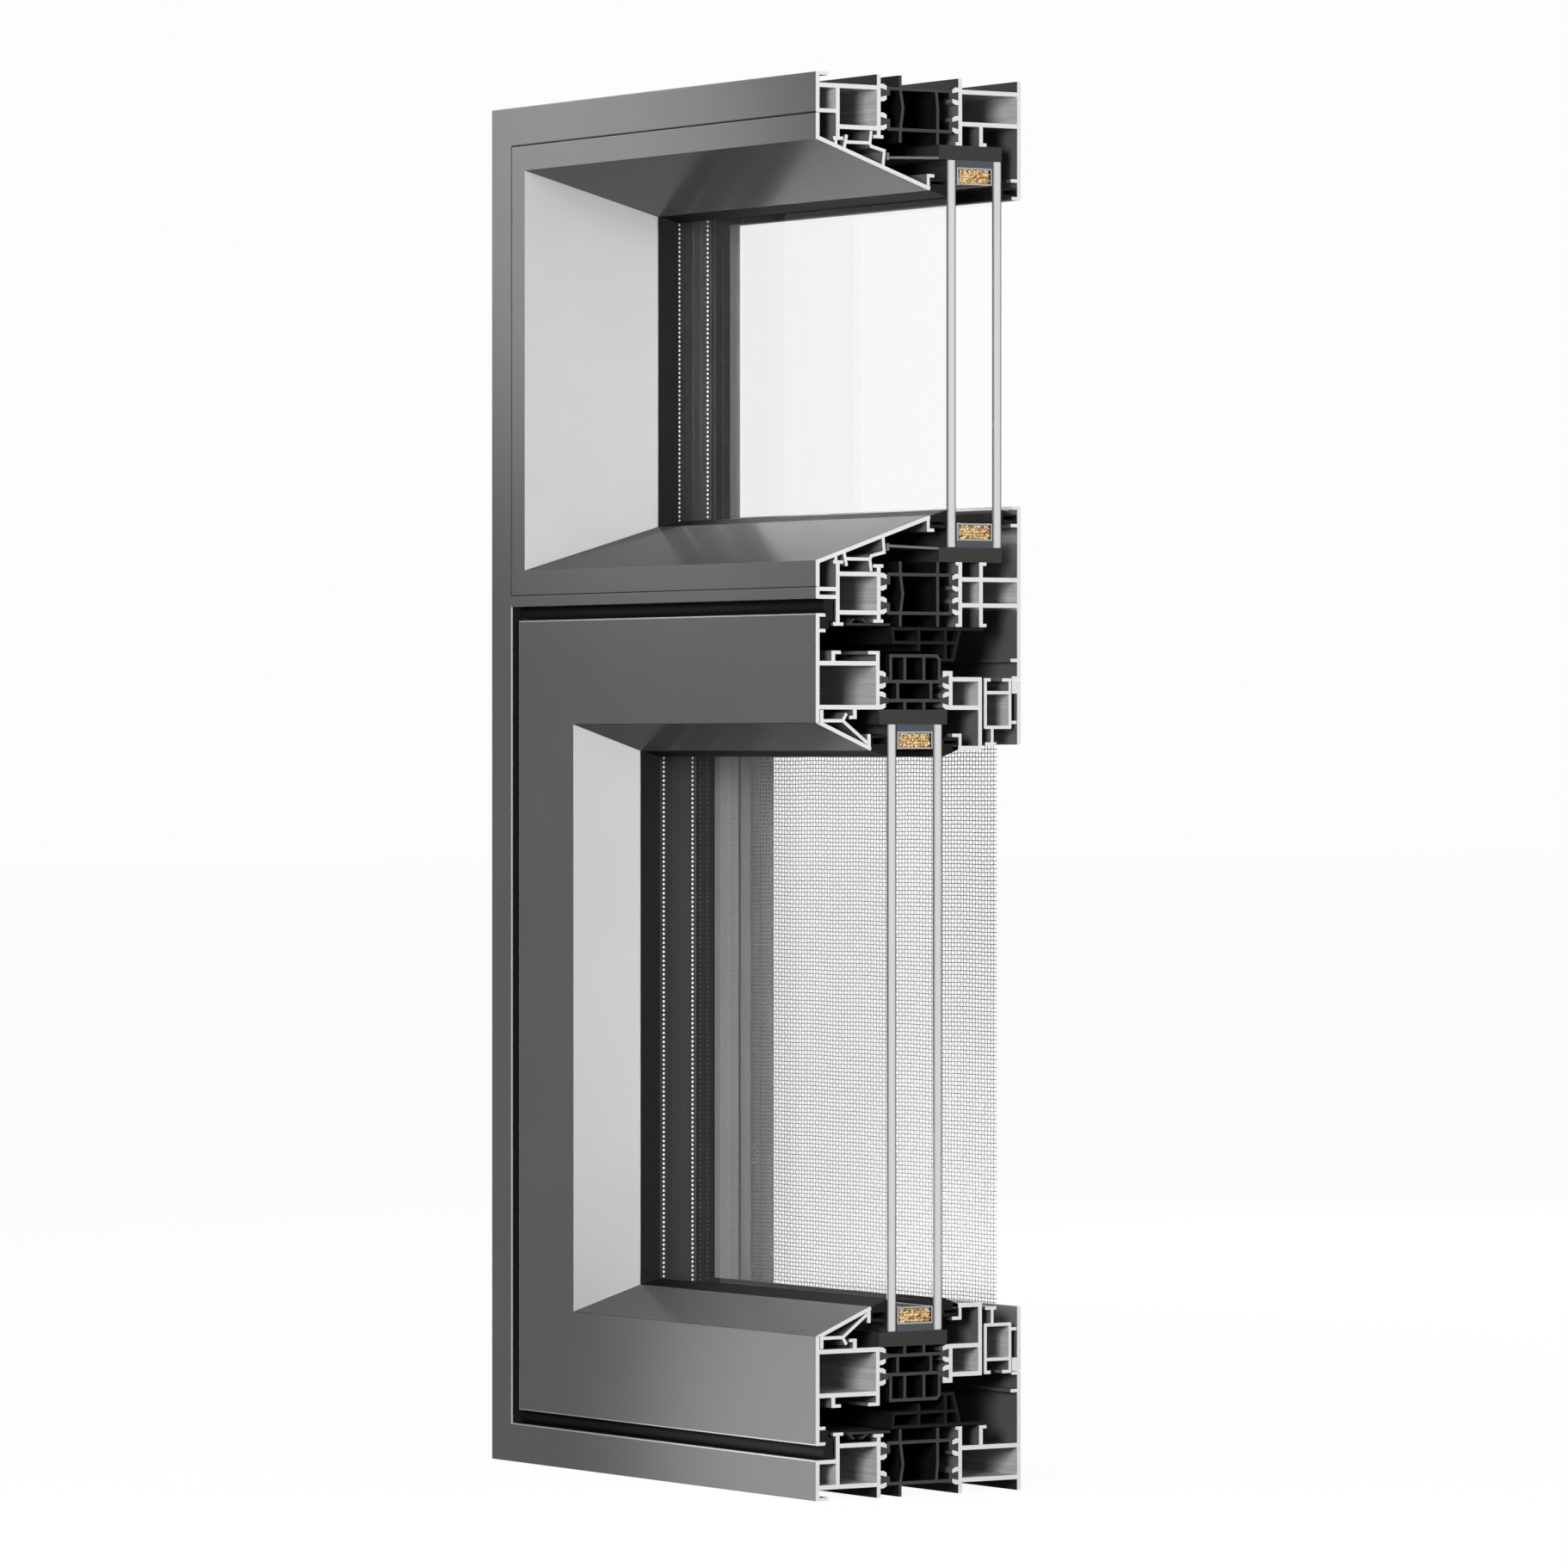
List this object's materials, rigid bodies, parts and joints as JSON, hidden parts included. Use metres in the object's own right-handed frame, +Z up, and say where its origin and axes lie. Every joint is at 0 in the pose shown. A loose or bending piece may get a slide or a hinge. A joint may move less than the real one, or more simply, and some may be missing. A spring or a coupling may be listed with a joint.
{
  "type": "tilt and turn window",
  "caption": "Corner sample of a thermally broken aluminium tilt and turn window: a fixed light over a double-glazed sash with an insect screen, cut square to show the profiles.",
  "frame": {"origin": "middle of the footprint, on the floor under the sill profile", "axes": "+X along the interior face towards the cut plane, +Y from the interior face to the outside, +Z up"},
  "size_m": [0.28, 0.1116, 0.64],
  "materials": {
    "coated_aluminium": "satin",
    "insulating_bar": "matte",
    "clear_glass": "polished",
    "spacer_metal": "satin",
    "desiccant": "matte",
    "edge_sealant": "matte",
    "setting_block": "matte",
    "black_rubber": "matte",
    "flap_plastic": "matte",
    "screen_wire": "satin"
  },
  "bodies": {
    "root": {"bead_flap": "flap_plastic", "centre_seal": "black_rubber", "fixed_bead_bottom": "coated_aluminium", "fixed_bead_side": "coated_aluminium", "fixed_bead_top": "coated_aluminium", "fixed_desiccant": "desiccant", "fixed_gasket_inner": "black_rubber", "fixed_gasket_outer": "black_rubber", "fixed_glazing_blocks": "setting_block", "fixed_pane_inner": "clear_glass", "fixed_pane_outer": "clear_glass", "fixed_sealant": "edge_sealant", "fixed_spacer": "spacer_metal", "frame_head_break": "insulating_bar", "frame_head_inner": "coated_aluminium", "frame_head_outer": "coated_aluminium", "frame_jamb_break": "insulating_bar", "frame_jamb_inner": "coated_aluminium", "frame_jamb_outer": "coated_aluminium", "frame_sill_break": "insulating_bar", "frame_sill_inner": "coated_aluminium", "frame_sill_outer": "coated_aluminium", "insect_screen": "screen_wire", "rebate_cover": "setting_block", "sash_bead_bottom": "coated_aluminium", "sash_bead_side": "coated_aluminium", "sash_bead_top": "coated_aluminium", "sash_bottom_break": "insulating_bar", "sash_bottom_inner": "coated_aluminium", "sash_bottom_outer": "coated_aluminium", "sash_desiccant": "desiccant", "sash_gasket_inner": "black_rubber", "sash_gasket_outer": "black_rubber", "sash_glazing_blocks": "setting_block", "sash_overlap_gasket": "black_rubber", "sash_pane_inner": "clear_glass", "sash_pane_outer": "clear_glass", "sash_sealant": "edge_sealant", "sash_spacer": "spacer_metal", "sash_stile_break": "insulating_bar", "sash_stile_inner": "coated_aluminium", "sash_stile_outer": "coated_aluminium", "sash_top_break": "insulating_bar", "sash_top_inner": "coated_aluminium", "sash_top_outer": "coated_aluminium", "screen_frame_bottom": "coated_aluminium", "screen_frame_side": "coated_aluminium", "screen_frame_top": "coated_aluminium", "screen_surround_bottom": "coated_aluminium", "screen_surround_side": "coated_aluminium", "screen_surround_top": "coated_aluminium", "transom_break": "insulating_bar", "transom_inner": "coated_aluminium", "transom_outer": "coated_aluminium"}
  },
  "joints": []
}
